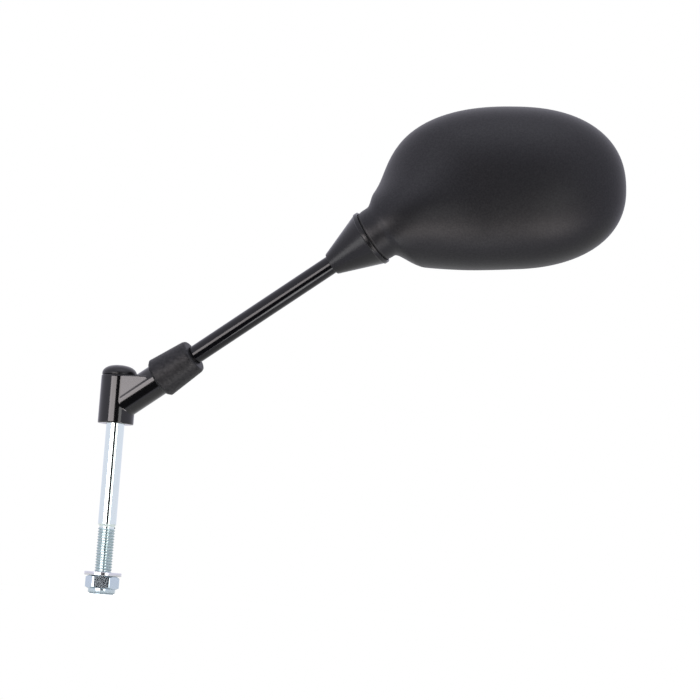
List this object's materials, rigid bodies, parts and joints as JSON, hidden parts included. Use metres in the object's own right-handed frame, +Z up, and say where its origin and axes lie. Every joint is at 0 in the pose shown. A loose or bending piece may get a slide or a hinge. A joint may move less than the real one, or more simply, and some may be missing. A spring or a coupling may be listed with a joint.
{
  "type": "motorcycle mirror",
  "caption": "Motorcycle mirror: oval glass in a black housing on a ball joint, round stem, clamp adapter turning on a long bolt with washer and lock nut.",
  "frame": {"origin": "middle of the adapter's underside, on the bolt's line", "axes": "+Z up the bolt, +X toward the head, the glass faces +Y and the housing's back -Y"},
  "size_m": [0.2751, 0.0723, 0.2761],
  "materials": {
    "zinc_bolt": "satin zinc plate",
    "zinc_steel": "zinc plate",
    "zinc_washer": "bright zinc plate",
    "zinc_nut": "blue zinc plate",
    "nylon_ring": "nylon",
    "gloss_diecast": "gloss black",
    "cap_plastic": "satin black",
    "gloss_rod": "gloss black",
    "ball_steel": "ground steel",
    "boot_rubber": "matte",
    "cone_plastic": "satin black",
    "seat_nylon": "nylon",
    "housing_plastic": "fine grained black",
    "spring_steel": "spring steel",
    "socket_plastic": "plain black",
    "carrier_plastic": "plain",
    "foam": "foam",
    "mirror_glass": "silvered",
    "gasket_rubber": "matte"
  },
  "bodies": {
    "bolt": {"mounting_bolt": "zinc_bolt", "head_washer": "zinc_steel", "flat_washer": "zinc_washer", "locknut": "zinc_nut", "locknut_ring": "nylon_ring"},
    "adapter": {"clamp_body": "gloss_diecast", "dome_cap": "cap_plastic"},
    "stem": {"stem_rod": "gloss_rod", "stem_ball": "ball_steel", "stem_nut_washer": "zinc_steel", "stem_locknut": "zinc_steel", "lower_boot": "boot_rubber", "cone_cover": "cone_plastic"},
    "seat": {"ball_seat_ring": "seat_nylon"},
    "head": {"housing": "housing_plastic", "neck_socket": "socket_plastic", "pressure_cup": "seat_nylon", "disc_spring": "spring_steel", "spring_plate": "spring_steel", "retaining_ring": "spring_steel", "glass_carrier": "carrier_plastic", "foam_pad": "foam", "mirror_glass": "mirror_glass", "rim_gasket": "gasket_rubber"}
  },
  "joints": [
    {"name": "adapter_turn", "type": "hinge", "parent": "bolt", "child": "adapter", "pos_m": [0, 0, 0], "axis": [0, 0, 1], "continuous": true},
    {"name": "stem_twist", "type": "hinge", "parent": "adapter", "child": "stem", "pos_m": [0, 0, 0.0093], "axis": [0.7791, -0.2531, 0.5736], "range_deg": [-180, 180]},
    {"name": "head_pan", "type": "hinge", "parent": "stem", "child": "seat", "pos_m": [0.134, -0.04354, 0.10795], "axis": [-0.0732, 0, 0.9973], "range_deg": [-10, 10]},
    {"name": "head_tilt", "type": "hinge", "parent": "seat", "child": "head", "pos_m": [0.134, -0.04354, 0.10795], "axis": [0.9973, 0, 0.0732], "range_deg": [-10, 10]}
  ]
}
